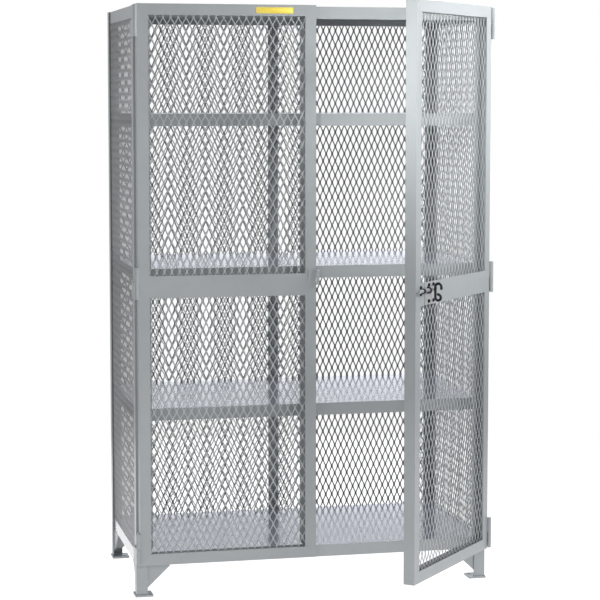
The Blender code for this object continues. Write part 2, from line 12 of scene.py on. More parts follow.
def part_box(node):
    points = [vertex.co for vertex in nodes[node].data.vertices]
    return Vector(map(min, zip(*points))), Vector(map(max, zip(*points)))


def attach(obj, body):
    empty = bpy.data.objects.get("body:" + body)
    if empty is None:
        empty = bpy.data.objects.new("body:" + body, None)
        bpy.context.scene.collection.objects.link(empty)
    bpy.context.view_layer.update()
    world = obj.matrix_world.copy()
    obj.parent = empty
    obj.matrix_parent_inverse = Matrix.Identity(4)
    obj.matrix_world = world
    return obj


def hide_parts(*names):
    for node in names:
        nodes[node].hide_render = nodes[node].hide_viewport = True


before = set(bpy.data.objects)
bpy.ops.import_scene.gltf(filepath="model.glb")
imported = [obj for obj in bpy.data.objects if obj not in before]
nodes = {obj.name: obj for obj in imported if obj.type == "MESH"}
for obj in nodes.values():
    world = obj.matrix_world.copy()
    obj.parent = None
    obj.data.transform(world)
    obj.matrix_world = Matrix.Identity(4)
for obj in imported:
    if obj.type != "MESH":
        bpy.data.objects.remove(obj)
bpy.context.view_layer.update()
scene = bpy.context.scene

# Sizes are in metres and the same as in the CAD
# The cabinet is measured from the outer corner of its front left post: right, back and up
CORNER = Vector((-0.613, -0.059119, 0.0))
WIDTH = 1.226
DEPTH = 0.629
HEIGHT = 1.981
POST_LEG = 0.038
POST_STEEL = 0.0048
FIT_GAP = 0.0003
SIDE_LAYER = POST_STEEL + FIT_GAP
PAD_TOP = 0.0066
GUSSET_LOW = 0.034
GUSSET_HIGH = 0.1049
GUSSET_END = 0.108
SHELF_TOPS = (0.637046, 1.10699, 1.620973)
BOTTOM_SHELF_TOP = 0.146
TOP_PAN_TOP = 1.978
BAR_MIDDLE = WIDTH / 2 - 0.007
BAR_EDGES = (0.587, 0.625)

# The hinges' axes stand in front of the posts, level with the cabinet's sides
HINGE_Y = -0.0502
HINGE_LEVELS = ("bottom", "middle", "top")
HALF_BARREL = 0.0522
RIGHT_OPEN_DEG = 49.0

# A door is measured along from its hinge edge, back from its face and up from the floor
DOOR_SIDE_INSET = 0.00665
DOOR_FACE_BEHIND_AXIS = 0.005
DOOR_WIDTH = 0.60255
DOOR_BOTTOM = 0.1165
DOOR_LEG = 0.0375
DOOR_DEPTH = 0.038
DOOR_STEEL = 0.0048
LOCK_CENTRE = 1.0495
LOCK_HEIGHT = 0.0735
LOCK_LOW = LOCK_CENTRE - LOCK_HEIGHT / 2
LOCK_HIGH = LOCK_CENTRE + LOCK_HEIGHT / 2

# The latch: insets count from the right door's free edge, heights from the floor, proud from the door's face
BOLTS_INSET = 0.108
BOLTS_HEIGHT = LOCK_CENTRE + 0.002
BOLTS_HALF_ACROSS = 0.0175
BOLTS_HALF_UP = 0.026
ROD_HEIGHT = LOCK_CENTRE + 0.012
ROD_PROUD = 0.0095


# Places


def corner(x, y, z):
    return CORNER + Vector((x, y, z))


class DoorFrame:
    """Turns door measures (along, back, up) into points of the row frame, with the door as it stands at rest."""

    def __init__(self, hinge_x, direction, open_deg):
        self.direction = direction
        self.turn = Matrix.Rotation(math.radians(open_deg), 3, "Z")
        self.pivot = corner(hinge_x, HINGE_Y, 0)

    def at(self, along, back, up):
        across = self.direction * (DOOR_SIDE_INSET + along)
        return self.pivot + self.turn @ Vector((across, DOOR_FACE_BEHIND_AXIS + back, up))

    def vector(self, along, back, up):
        return self.turn @ Vector((self.direction * along, back, up))


LEFT = DoorFrame(0, 1, 0)
RIGHT = DoorFrame(WIDTH, -1, RIGHT_OPEN_DEG)


# Materials


class Shader:
    """A small helper that builds a node material around one Principled shader."""

    def __init__(self, name):
        self.material = bpy.data.materials.new(name)
        self.material.use_nodes = True
        self.tree = self.material.node_tree
        self.main = self.tree.nodes["Principled BSDF"]
        self.place = self.tree.nodes.new("ShaderNodeTexCoord").outputs["Object"]
        self.true_normal = self.tree.nodes.new("ShaderNodeNewGeometry").outputs["True Normal"]

    def node(self, kind, inputs=None, **settings):
        item = self.tree.nodes.new(kind)
        for key, value in settings.items():
            setattr(item, key, value)
        for key, value in (inputs or {}).items():
            self.put(item.inputs[key], value)
        return item

    def put(self, socket, value):
        if isinstance(value, bpy.types.NodeSocket):
            self.tree.links.new(value, socket)
        else:
            socket.default_value = value

    def noise(self, scale, detail=3.0, rough=0.5, stretch=None):
        place = self.place
        if stretch:
            place = self.node("ShaderNodeMapping", {"Vector": place, "Scale": stretch}).outputs[0]
        inputs = {"Vector": place, "Scale": scale, "Detail": detail, "Roughness": rough}
        return self.node("ShaderNodeTexNoise", inputs).outputs[0]

    def spread(self, value, low, high, to_low, to_high):
        inputs = {"Value": value, "From Min": low, "From Max": high, "To Min": to_low, "To Max": to_high}
        return self.node("ShaderNodeMapRange", inputs).outputs[0]

    def times(self, a, b):
        return self.node("ShaderNodeMath", {0: a, 1: b}, operation="MULTIPLY").outputs[0]

    def vectors(self, operation, a, b):
        item = self.node("ShaderNodeVectorMath", {0: a, 1: b}, operation=operation)
        return item.outputs["Value" if operation == "DOT_PRODUCT" else "Vector"]

    def mix(self, factor, a, b):
        item = self.node("ShaderNodeMix", data_type="RGBA")
        self.put(item.inputs[0], factor)
        self.put(item.inputs[6], a)
        self.put(item.inputs[7], b)
        return item.outputs[2]

    def bump(self, height, strength, distance, normal=None):
        inputs = {"Height": height, "Strength": strength, "Distance": distance}
        if normal is not None:
            inputs["Normal"] = normal
        return self.node("ShaderNodeBump", inputs).outputs[0]

    def set(self, **sockets):
        for key, value in sockets.items():
            self.put(self.main.inputs[key.replace("_", " ").title().replace("Ior", "IOR")], value)


def grey(value, tint=(1, 1, 1)):
    return (value * tint[0], value * tint[1], value * tint[2], 1.0)


BLOTCH_TONE = 0.72
RIM_TONE = 1.45
RIM_RADIUS = 0.0012
PEEL_HEIGHT = 0.0006
GRAIN_HEIGHT = 0.0002


def powder_shader(name, base, roughness, coat=0.25, coat_rough=0.28, peel=1.0, dirt=0.12, patchy=0.06, upper=None):
    """Baked powder coat: fine orange peel, slow tone drift, thin paint that shows lighter on the edges.

    peel scales its bumps, dirt is how strong its blotches are, and patchy is how far its roughness wanders.
    The last argument is a tone of painted light: faces that look up are tinted towards it, standing in for the
    bluish light they reflect."""
    s = Shader(name)
    tone = base
    # Faces that look up are tinted as painted light.
    if upper:
        facing_up = s.node("ShaderNodeSeparateXYZ", {0: s.true_normal}).outputs["Z"]
        tone = s.mix(s.spread(facing_up, 0.4, 0.8, 0.0, 1.0), base, upper)
    drift = s.spread(s.noise(2.2, detail=4.0, rough=0.55), 0.35, 0.65, 0.95, 1.05)
    tone = s.node("ShaderNodeHueSaturation", {"Value": drift, "Color": tone}).outputs[0]
    blotch = s.spread(s.noise(26.0, detail=5.0, rough=0.6), 0.5, 0.75, 0.0, dirt)
    tone = s.mix(blotch, tone, grey(BLOTCH_TONE, base))
    rounded = s.node("ShaderNodeBevel", {"Radius": RIM_RADIUS}, samples=4).outputs[0]
    rim = s.spread(s.vectors("DOT_PRODUCT", rounded, s.true_normal), 0.75, 0.98, 1.0, 0.0)
    wear = s.spread(s.noise(70.0, detail=4.0, rough=0.7), 0.42, 0.62, 0.15, 0.6)
    tone = s.mix(s.times(rim, wear), tone, grey(RIM_TONE, base))
    rough = s.spread(s.noise(45.0, detail=4.0, rough=0.6), 0.3, 0.7, roughness - patchy, roughness + patchy)
    normal = s.bump(s.noise(420.0, detail=2.0, rough=0.5), 0.16 * peel, PEEL_HEIGHT)
    normal = s.bump(s.noise(1500.0, detail=2.0, rough=0.6), 0.05 * peel, GRAIN_HEIGHT, normal)
    s.set(base_color=tone, roughness=rough, normal=normal, coat_weight=coat, coat_roughness=coat_rough)
    return s


def powder_coat(name, base, roughness, **options):
    return powder_shader(name, base, roughness, **options).material


def shaded_post_coat(name, base, roughness, inner):
    """Powder coat on an angle post, with painted shade: the faces within the angle are painted darker."""
    s = powder_shader(name, base, roughness)
    middle = (0, CORNER.y + DEPTH / 2, 0)
    away = s.vectors("MULTIPLY", s.vectors("SUBTRACT", s.place, middle), (1, 1, 0))
    # Faces that look into the angle get painted shade: their tone is darkened to the given share, and the noise
    # below only varies how much.
    angle_shade_mask = s.spread(s.vectors("DOT_PRODUCT", away, s.true_normal), -0.12, -0.04, 1.0, 0.0)
    thin = s.spread(s.noise(30.0, detail=4.0, rough=0.6), 0.3, 0.7, 0.8, 1.0)
    outer = s.main.inputs["Base Color"].links[0].from_socket
    s.set(base_color=s.mix(s.times(angle_shade_mask, thin), outer, grey(inner, base)))
    return s.material


def zinc_plate(name, base, roughness, metallic):
    """Bright zinc: brushed grain, cloudy spangle and darker handling marks."""
    s = Shader(name)
    cloud = s.noise(160.0, detail=4.0, rough=0.6)
    streak = s.noise(60.0, detail=5.0, rough=0.7, stretch=(1.0, 1.0, 18.0))
    marks = s.noise(38.0, detail=4.0, rough=0.65)
    tone = s.mix(s.spread(cloud, 0.3, 0.7, 0.0, 1.0), grey(0.86, base), grey(1.1, base))
    tone = s.mix(s.spread(marks, 0.54, 0.72, 0.0, 0.4), tone, grey(0.6, base))
    rough = s.spread(streak, 0.3, 0.7, roughness - 0.08, roughness + 0.12)
    normal = s.bump(streak, 0.12, 0.0003)
    normal = s.bump(cloud, 0.1, 0.0003, normal)
    s.set(base_color=tone, roughness=rough, normal=normal, metallic=metallic)
    return s.material


def black_steel(name):
    """Dip-coated black steel with rubbed spots; on the latch staple and the guide strap its black is partly
    painted shade.
    """
    s = Shader(name)
    rub = s.spread(s.noise(190.0, detail=5.0, rough=0.7), 0.6, 0.8, 0.0, 1.0)
    tone = s.mix(rub, (0.004, 0.004, 0.0045, 1), (0.03, 0.03, 0.031, 1))
    rough = s.spread(s.noise(90.0), 0.3, 0.7, 0.28, 0.5)
    normal = s.bump(s.noise(700.0), 0.25, 0.0004)
    s.set(base_color=tone, roughness=rough, normal=normal, specular_ior_level=0.3)
    return s.material


def label_plastic(name):
    """The blank yellow plate: matt film with a faint grain."""
    s = Shader(name)
    cloud = s.spread(s.noise(240.0, detail=4.0, rough=0.6), 0.3, 0.7, 0.0, 1.0)
    tone = s.mix(cloud, (0.78, 0.60, 0.06, 1), (0.86, 0.69, 0.11, 1))
    rough = s.spread(s.noise(500.0), 0.3, 0.7, 0.32, 0.48)
    normal = s.bump(s.noise(900.0, detail=2.0), 0.08, 0.0002)
    s.set(base_color=tone, roughness=rough, normal=normal)
    return s.material


def weld_paint(name, base):
    """The same paint over a weld bead: rougher, with pinholes."""
    s = Shader(name)
    pits = s.noise(900.0, detail=4.0, rough=0.7)
    tone = s.mix(s.spread(pits, 0.35, 0.6, 0.0, 1.0), grey(0.72, base), grey(1.03, base))
    rough = s.spread(pits, 0.3, 0.7, 0.4, 0.6)
    normal = s.bump(pits, 0.4, 0.0006)
    s.set(base_color=tone, roughness=rough, normal=normal, coat_weight=0.15, coat_roughness=0.3)
    return s.material


def floor_paper(name, glow):
    """Grey paper that glows almost white, so that the floor stays white where the cabinet shades it."""
    s = Shader(name)
    tone = s.mix(s.noise(3.0), grey(0.38), grey(0.42))
    s.set(base_color=tone, roughness=0.9, specular_ior_level=0.1)
    s.set(emission_color=(1, 1, 1, 1), emission_strength=glow)
    return s.material


# The tones follow the photo: the back wall's sheets are the darkest, darkened as painted shade, and the doors'
# sheets the lightest, lightened as painted light
GREY = (0.318, 0.339, 0.350)
MESH_GREY = (0.329, 0.338, 0.345)
# The pans' up-facing tint is painted light, standing in for the bluish light they reflect.
SHELF_TOP_PAINTED_TINT = (0.305, 0.332, 0.415, 1.0)
SHEET_COAT = {"coat": 0.2, "dirt": 0.2}
SHELF_COAT = {"coat": 0.7, "coat_rough": 0.11, "peel": 0.01, "dirt": 0.05, "patchy": 0.008}
FRAME_PAINT = powder_coat("frame_powder_coat", grey(1.0, GREY), 0.40)
DOOR_PAINT = powder_coat("door_powder_coat", grey(1.02, GREY), 0.38, coat=0.3)
SHELF_PAINT = powder_coat("shelf_coat_painted_top_tint", grey(1.0, GREY), 0.24, upper=SHELF_TOP_PAINTED_TINT, **SHELF_COAT)
DOOR_MESH_PAINTED_LIGHT = powder_coat("door_mesh_coat_painted_light", grey(1.15, GREY), 0.42, **SHEET_COAT)
WALL_MESH_PAINTED_SHADE = powder_coat("wall_mesh_coat_painted_shade", grey(0.56, MESH_GREY), 0.42, **SHEET_COAT)
SIDE_MESH_PAINT = powder_coat("side_mesh_powder_coat", grey(1.02, MESH_GREY), 0.42, **SHEET_COAT)
# The posts are painted darker within their angles, as painted shade.
POST_PAINT_SHADED_INSIDE = shaded_post_coat("post_coat_painted_shade", grey(1.0, GREY), 0.40, inner=0.3)
WELD_PAINT = weld_paint("weld_powder_coat", GREY)
ZINC = zinc_plate("latch_bright_zinc", (0.56, 0.57, 0.58), 0.42, metallic=0.4)
DARK_ZINC = zinc_plate("rod_dull_zinc", (0.42, 0.43, 0.44), 0.38, metallic=0.6)
BLACK_STEEL_AND_SHADE = black_steel("handle_black")
YELLOW = label_plastic("blank_yellow_plate")


def finish_of(node):
    # The staple's black is partly painted shade: it stands in for the staple and the shade it casts.
    if "latch_handle" in node or node.endswith("latch_staple"):
        return BLACK_STEEL_AND_SHADE
    if node == "latch_rod":
        return DARK_ZINC
    if "latch" in node:
        return ZINC
    if "mesh" in node:
        if "door" in node:
            return DOOR_MESH_PAINTED_LIGHT
        return SIDE_MESH_PAINT if "side" in node else WALL_MESH_PAINTED_SHADE
    if "shelf" in node:
        return SHELF_PAINT
    if node.startswith("post_"):
        return POST_PAINT_SHADED_INSIDE
    if "door" in node:
        return DOOR_PAINT
    return FRAME_PAINT


CHANNEL_ROUNDING = 0.0019
SHEET_ROUNDING = 0.0009
SMALL_ROUNDING = 0.0005


def dress_cad():
    """Gives each carried-over CAD node its finish, and each but the mesh sheets a small rounding on its edges."""
    for name, item in nodes.items():
        item.data.materials.clear()
        item.data.materials.append(finish_of(name))
        if "mesh" in name:
            continue
        width = SHEET_ROUNDING
        if "stile" in name or "rail" in name:
            width = CHANNEL_ROUNDING
        elif "latch" in name or "hinge" in name:
            width = SMALL_ROUNDING
        bevel = item.modifiers.new("soft_edges", "BEVEL")
        bevel.width = width
        bevel.segments = 3 if width == CHANNEL_ROUNDING else 2
        bevel.limit_method = "ANGLE"
        bevel.angle_limit = math.radians(40)
        bevel.use_clamp_overlap = True
        bevel.harden_normals = False


# Pieces


def piece(name, mesh, material, body, replaced=(), smooth_deg=40):
    mesh.materials.append(material)
    mesh.shade_smooth()
    mesh.set_sharp_from_angle(angle=math.radians(smooth_deg))
    item = bpy.data.objects.new(name, mesh)
    scene.collection.objects.link(item)
    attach(item, body)
    if replaced:
        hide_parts(*replaced)
    return item


def mesh_of(name, shape):
    bmesh.ops.recalc_face_normals(shape, faces=shape.faces)
    mesh = bpy.data.meshes.new(name)
    shape.to_mesh(mesh)
    shape.free()
    return mesh


def join_rings(shape, rings):
    """Walls of four-sided faces from each ring of vertices to the next."""
    count = len(rings[0])
    for low, high in zip(rings, rings[1:]):
        for k in range(count):
            m = (k + 1) % count
            shape.faces.new((low[k], low[m], high[m], high[k]))


def close_rings(shape, rings):
    """A closed solid from rings of vertices, with one face over the first ring and one over the last."""
    join_rings(shape, rings)
    shape.faces.new(rings[0][::-1])
    shape.faces.new(rings[-1])


# Expanded metal at its real pitch

Pattern = namedtuple("Pattern", "cell strand thickness lean")

# The strands of expanded metal lean a little, so its front face is shifted from its back face
WALL_PATTERN = Pattern((0.02311, 0.05314), 0.0038, 0.0017, 0.0010)
LEFT_DOOR_PATTERN = Pattern((0.02532, 0.04931), 0.0032, 0.0021, -0.0010)
RIGHT_DOOR_PATTERN = Pattern((0.02513, 0.05080), 0.0032, 0.0021, -0.0010)

# Where the centre of one opening lies: across from the cabinet's corner or the hinge axis, and up from the floor
BACK_LEFT_CENTRE = (0.01815, 0.00252)
BACK_RIGHT_CENTRE = (0.02037, 0.00650)
LEFT_DOOR_CENTRE = (0.00590, 0.01429)
RIGHT_DOOR_CENTRE = (0.00864, 0.02134)

# The same for the side sheets, but from the sheet's own lower front corner
SIDE_LEFT_PHASE = (0.006, 0.012)
SIDE_RIGHT_PHASE = (0.004, 0.02)

CAD_THICKNESS = 0.0025
SHEET_LOW = 0.1463
SHEET_HIGH = 1.9367
SHEET_EDGE = 0.0004
LAYERS = 4

# Shape of an opening: the knot's width in strands, the blunt side's share, the pointed end's half width
KNOT_STRANDS = 1.95
BLUNT_SHARE = 0.15
KNOT_BLUNTS = 1.42
HALF_TIP = 0.0007
TIP_DROP = 0.6

# Corners of an opening, anticlockwise from the right
(RIGHT_LOW, RIGHT_HIGH, TOP_RIGHT, TOP, TOP_LEFT,
 LEFT_HIGH, LEFT_LOW, FOOT_LEFT, FOOT, FOOT_RIGHT) = range(10)


def hole_ring(cell, strand):
    """Outline of one opening about its centre, anticlockwise from the right: blunt sides, pointed ends."""
    half_x, half_y = cell[0] / 2, cell[1] / 2
    reach_x = half_x - strand * KNOT_STRANDS / 2
    blunt = half_y * BLUNT_SHARE
    reach_y = half_y - blunt * KNOT_BLUNTS
    tip = HALF_TIP
    slope = reach_x / (reach_y - blunt)
    drop = tip / slope * TIP_DROP
    return np.array(
        (
            (reach_x, -blunt),
            (reach_x, blunt),
            (tip, reach_y - drop),
            (0, reach_y),
            (-tip, reach_y - drop),
            (-reach_x, blunt),
            (-reach_x, -blunt),
            (-tip, -reach_y + drop),
            (0, -reach_y),
            (tip, -reach_y + drop),
        )
    )


def opening_points(pattern):
    """Points (across, up, through) of one opening: four rings, at the front rim and edge, and the back ones."""
    ring = hole_ring(pattern.cell, pattern.strand)
    outward = np.roll(ring, -1, 0) - np.roll(ring, 1, 0)
    outward = np.stack((outward[:, 1], -outward[:, 0]), 1)
    outward /= np.linalg.norm(outward, axis=1)[:, None]
    rim = ring + outward * SHEET_EDGE
    thickness = pattern.thickness
    points = []
    for flat, depth in ((rim, 0.0), (ring, SHEET_EDGE), (ring, thickness - SHEET_EDGE), (rim, thickness)):
        shift = pattern.lean * (depth / thickness - 0.5)
        points.append(np.column_stack((flat[:, 0] + shift, flat[:, 1], np.full(len(ring), depth))))
    return np.concatenate(points)


def expanded_metal(width, height, pattern, phase):
    """Vertices and faces of a sheet that covers width x height, with whole openings past its edges."""
    template = opening_points(pattern)
    count = len(template) // LAYERS
    half = np.array(pattern.cell) / 2
    spare = 2
    first = np.floor(-np.array(phase) / half).astype(int) - spare
    last = np.ceil((np.array((width, height)) - phase) / half).astype(int) + spare
    index = {}
    places = []
    for j in range(first[1], last[1] + 1):
        for i in range(first[0], last[0] + 1):
            if (i + j) % 2 == 0:
                index[i, j] = len(places)
                places.append((phase[0] + i * half[0], phase[1] + j * half[1], 0.0))
    points = (np.array(places)[:, None, :] + template[None]).reshape(-1, 3)

    def vertex(opening, layer, point):
        return (opening * LAYERS + layer) * count + point

    faces = []
    for (i, j), here in index.items():
        for layer in range(LAYERS - 1):
            for k in range(count):
                m = (k + 1) % count
                low = (vertex(here, layer, k), vertex(here, layer, m))
                high = (vertex(here, layer + 1, m), vertex(here, layer + 1, k))
                faces.append(low + high)
        up = index.get((i + 1, j + 1))
        up_left = index.get((i - 1, j + 1))
        right = index.get((i + 2, j))
        down = index.get((i + 1, j - 1))
        for layer, flip in ((0, 1), (LAYERS - 1, -1)):
            if up is not None:
                strand = (
                    vertex(here, layer, RIGHT_HIGH),
                    vertex(here, layer, TOP_RIGHT),
                    vertex(up, layer, LEFT_LOW),
                    vertex(up, layer, FOOT_LEFT),
                )
                faces.append(strand[::flip])
            if up_left is not None:
                strand = (
                    vertex(here, layer, LEFT_HIGH),
                    vertex(here, layer, TOP_LEFT),
                    vertex(up_left, layer, RIGHT_LOW),
                    vertex(up_left, layer, FOOT_RIGHT),
                )
                faces.append(strand[::-flip])
            if up is not None and right is not None and down is not None:
                knot = (
                    vertex(here, layer, RIGHT_HIGH),
                    vertex(up, layer, FOOT_LEFT),
                    vertex(up, layer, FOOT),
                    vertex(up, layer, FOOT_RIGHT),
                    vertex(right, layer, LEFT_HIGH),
                    vertex(right, layer, LEFT_LOW),
                    vertex(down, layer, TOP_RIGHT),
                    vertex(down, layer, TOP),
                    vertex(down, layer, TOP_LEFT),
                    vertex(here, layer, RIGHT_LOW),
                )
                faces.append(knot[::flip])
    return points, faces


def metal_sheet(name, start, axes, size, pattern, phase, body, replaced):
    """A cut sheet of expanded metal. axes are its directions across, up and through, from its lower corner."""
    width, height = size
    points, faces = expanded_metal(width, height, pattern, phase)
    mesh = bpy.data.meshes.new(name)
    mesh.from_pydata(points.tolist(), [], faces)
    shape = bmesh.new()
    shape.from_mesh(mesh)
    cuts = (
        ((0, 0, 0), (-1, 0, 0)),
        ((width, 0, 0), (1, 0, 0)),
        ((0, 0, 0), (0, -1, 0)),
        ((0, height, 0), (0, 1, 0)),
    )
    for place, normal in cuts:
        everything = shape.verts[:] + shape.edges[:] + shape.faces[:]
        settings = {"dist": 1e-7, "plane_co": place, "plane_no": normal, "clear_outer": True}
        cut = bmesh.ops.bisect_plane(shape, geom=everything, **settings)
        rims = [item for item in cut["geom_cut"] if isinstance(item, bmesh.types.BMEdge)]
        bmesh.ops.holes_fill(shape, edges=rims, sides=0)
    turn = Matrix.Identity(4)
    for column, axis in enumerate(axes):
        for row in range(3):
            turn[row][column] = axis[row]
    turn.translation = start + axes[2] * (CAD_THICKNESS - pattern.thickness) / 2
    bmesh.ops.transform(shape, matrix=turn, verts=shape.verts)
    bmesh.ops.recalc_face_normals(shape, faces=shape.faces)
    shape.to_mesh(mesh)
    shape.free()
    return piece(name, mesh, finish_of(replaced), body, (replaced,), smooth_deg=50)


def wall_sheets():
    """The two side sheets, and the two back sheets that meet at the centre bar."""
    up, back, right = Vector((0, 0, 1)), Vector((0, 1, 0)), Vector((1, 0, 0))
    height = SHEET_HIGH - SHEET_LOW
    side_size = (DEPTH - 2 * SIDE_LAYER - CAD_THICKNESS - FIT_GAP, height)
    back_y = DEPTH - SIDE_LAYER
    half_gap = FIT_GAP / 2
    left_start = corner(SIDE_LAYER, SIDE_LAYER, SHEET_LOW)
    metal_sheet("side_sheet_left", left_start, (back, up, right), side_size, WALL_PATTERN,
                SIDE_LEFT_PHASE, "cabinet", "side_mesh_left")
    right_start = corner(WIDTH - SIDE_LAYER, SIDE_LAYER, SHEET_LOW)
    metal_sheet("side_sheet_right", right_start, (back, up, -right), side_size, WALL_PATTERN,
                SIDE_RIGHT_PHASE, "cabinet", "side_mesh_right")
    back_left_start = corner(SIDE_LAYER, back_y, SHEET_LOW)
    back_left_size = (BAR_MIDDLE - SIDE_LAYER - half_gap, height)
    back_left_phase = (BACK_LEFT_CENTRE[0] - SIDE_LAYER, BACK_LEFT_CENTRE[1] - SHEET_LOW)
    metal_sheet("back_sheet_left", back_left_start, (right, up, -back), back_left_size, WALL_PATTERN,
                back_left_phase, "cabinet", "back_mesh_left")
    back_right_start = corner(BAR_MIDDLE + half_gap, back_y, SHEET_LOW)
    back_right_size = (WIDTH - SIDE_LAYER - BAR_MIDDLE - half_gap, height)
    back_right_phase = (BACK_RIGHT_CENTRE[0] - BAR_MIDDLE, BACK_RIGHT_CENTRE[1] - SHEET_LOW)
    metal_sheet("back_sheet_right", back_right_start, (right, up, -back), back_right_size, WALL_PATTERN,
                back_right_phase, "cabinet", "back_mesh_right")


def door_sheet(name, door, pattern, centre):
    edge = DOOR_STEEL + FIT_GAP
    start = door.at(edge, edge, DOOR_BOTTOM + edge)
    axes = (door.vector(1, 0, 0), Vector((0, 0, 1)), door.vector(0, 1, 0))
    size = (DOOR_WIDTH - 2 * edge, HEIGHT - DOOR_BOTTOM - 2 * edge)
    phase = (centre[0] - DOOR_SIDE_INSET - edge, centre[1] - DOOR_BOTTOM - edge)
    metal_sheet(name + "_sheet", start, axes, size, pattern, phase, name, name + "_mesh")


# Latch bolts, guide strap and the blank plate


def hex_bolts():
    """The four hex heads, with chamfered edges, that hold the latch plate to the door's lock plate."""
    sides = 6
    # How proud of the door's face each ring of a head lies, and its radius
    profile = ((0.0034, 0.0058), (0.0041, 0.0062), (0.0068, 0.0062), (0.0076, 0.0054), (0.0078, 0.003))
    shape = bmesh.new()
    for number, (side, level) in enumerate(((-1, -1), (-1, 1), (1, -1), (1, 1))):
        along = DOOR_WIDTH - (BOLTS_INSET + side * BOLTS_HALF_ACROSS)
        up = BOLTS_HEIGHT + level * BOLTS_HALF_UP
        turn = math.radians(11 + 37 * number)
        rings = []
        for proud, radius in profile:
            ring = []
            for k in range(sides):
                angle = turn + math.tau * k / sides
                point = RIGHT.at(along + radius * math.cos(angle), -proud, up + radius * math.sin(angle))
                ring.append(shape.verts.new(point))
            rings.append(ring)
        close_rings(shape, rings)
    mesh = mesh_of("latch_plate_bolts", shape)
    piece("latch_plate_bolts", mesh, BLACK_STEEL_AND_SHADE, "right_door", smooth_deg=25)


def latch_guide():
    """The strap that guides the rod's nose: bent round the rod, with a foot above and below on the lock stile."""
    thick, inner_radius, foot = 0.0024, 0.006, 0.0155
    width, start, soft = 0.011, 0.032, 0.0004
    steps = 14
    shape = bmesh.new()

    def line(offset):
        """(proud, up) points of the strap's face at the given distance from its inner face."""
        low = FIT_GAP + offset
        radius = inner_radius + offset
        bend = [math.radians(-90 + 180 * k / steps) for k in range(steps + 1)]
        arc = [(ROD_PROUD + radius * math.cos(a), radius * math.sin(a)) for a in bend]
        return [(low, -foot), (low, -radius)] + arc + [(low, radius), (low, foot)]

    rings = []
    for along, inset in ((start, soft), (start + soft, 0), (start + width - soft, 0), (start + width, soft)):
        section = line(thick - inset) + line(inset)[::-1]
        points = [RIGHT.at(DOOR_WIDTH - along, -proud, ROD_HEIGHT + up) for proud, up in section]
        rings.append([shape.verts.new(point) for point in points])
    join_rings(shape, rings)
    count = len(rings[0])
    for ring, flip in ((rings[0], -1), (rings[-1], 1)):
        for k in range(count // 2 - 1):
            quad = (ring[k], ring[k + 1], ring[count - 2 - k], ring[count - 1 - k])
            shape.faces.new(quad[::flip])
    mesh = mesh_of("latch_guide_loop", shape)
    # The guide's black is partly painted shade, standing in for the shade at its feet.
    piece("latch_guide_loop", mesh, BLACK_STEEL_AND_SHADE, "right_door", ("right_door_latch_guide",), smooth_deg=35)


def blank_plate():
    """A plain yellow plate on the left door's top rail, rounded at its corners."""
    half_width, half_height, radius, thickness = 0.063, 0.01025, 0.003, 0.0007
    middle = (0.461, HEIGHT - 0.0191)
    quarter = 4
    outline = []
    for sx, sz, start in ((1, 1, 0), (-1, 1, 90), (-1, -1, 180), (1, -1, 270)):
        for k in range(quarter + 1):
            angle = math.radians(start + 90 * k / quarter)
            dx = sx * (half_width - radius) + radius * math.cos(angle)
            dz = sz * (half_height - radius) + radius * math.sin(angle)
            outline.append((dx, dz))
    shape = bmesh.new()
    rings = []
    for inset, proud in ((0.0, 0.0001), (0.0, thickness - 0.0002), (0.0004, thickness)):
        shrink_x, shrink_z = 1 - inset / half_width, 1 - inset / half_height
        points = [LEFT.at(middle[0] + dx * shrink_x, -proud, middle[1] + dz * shrink_z) for dx, dz in outline]
        rings.append([shape.verts.new(point) for point in points])
    close_rings(shape, rings)
    mesh = mesh_of("blank_yellow_plate", shape)
    piece("blank_yellow_plate", mesh, YELLOW, "left_door", smooth_deg=30)


# Weld beads and ground seams

BEAD_STEP = 0.0012
BEAD_SIDES = 8
BEAD_END = 0.45
RIPPLE_LENGTH = 0.0026
RIPPLE_SHARE = 0.13
WANDER_SHARE = 0.08
WANDER_TURN = 900
WANDER_START = 1.7
SEAM_HALF = 0.0023
SEAM_DEEP = 0.0012
SEAM_PROUD = 0.00008
SEAM_SOFT = 0.0004


def bead(shape, path, radius):
    """A rippled round bead along a path of points, closed at both ends."""
    points = []
    for start, end in zip(path, path[1:]):
        steps = max(2, round((end - start).length / BEAD_STEP))
        points += [start.lerp(end, k / steps) for k in range(steps)]
    points.append(path[-1])
    travelled = 0.0
    rings = []
    for k, point in enumerate(points):
        before = points[max(k - 1, 0)]
        after = points[min(k + 1, len(points) - 1)]
        ahead = (after - before).normalized()
        side = ahead.orthogonal().normalized()
        if abs(ahead.z) < 0.9:
            side = ahead.cross(Vector((0, 0, 1))).normalized()
        over = side.cross(ahead)
        travelled += (point - before).length
        taper = min(k, len(points) - 1 - k, 2) / 2
        ripple = RIPPLE_SHARE * math.sin(math.tau * travelled / RIPPLE_LENGTH)
        wander = WANDER_SHARE * math.sin(travelled * WANDER_TURN + WANDER_START)
        size = radius * (BEAD_END + (1 - BEAD_END) * taper) * (1 + ripple + wander)
        ring = []
        for s in range(BEAD_SIDES):
            angle = math.tau * s / BEAD_SIDES
            ring.append(shape.verts.new(point + size * (math.cos(angle) * side + math.sin(angle) * over)))
        rings.append(ring)
    close_rings(shape, rings)


def seam(shape, outline, place):
    """A thin closed slab over an outline of (a, b) points: place(a, b, out) gives a point, out counts outwards."""
    middle = [sum(values) / len(outline) for values in zip(*outline)]
    rings = []
    for inset, out in ((0.0, -SEAM_DEEP), (0.0, SEAM_PROUD * 0.3), (SEAM_SOFT, SEAM_PROUD)):
        ring = []
        for a, b in outline:
            away = Vector((a - middle[0], b - middle[1]))
            away = away * (1 - inset / max(away.length, inset * 2))
            ring.append(shape.verts.new(place(middle[0] + away.x, middle[1] + away.y, out)))
        rings.append(ring)
    close_rings(shape, rings)


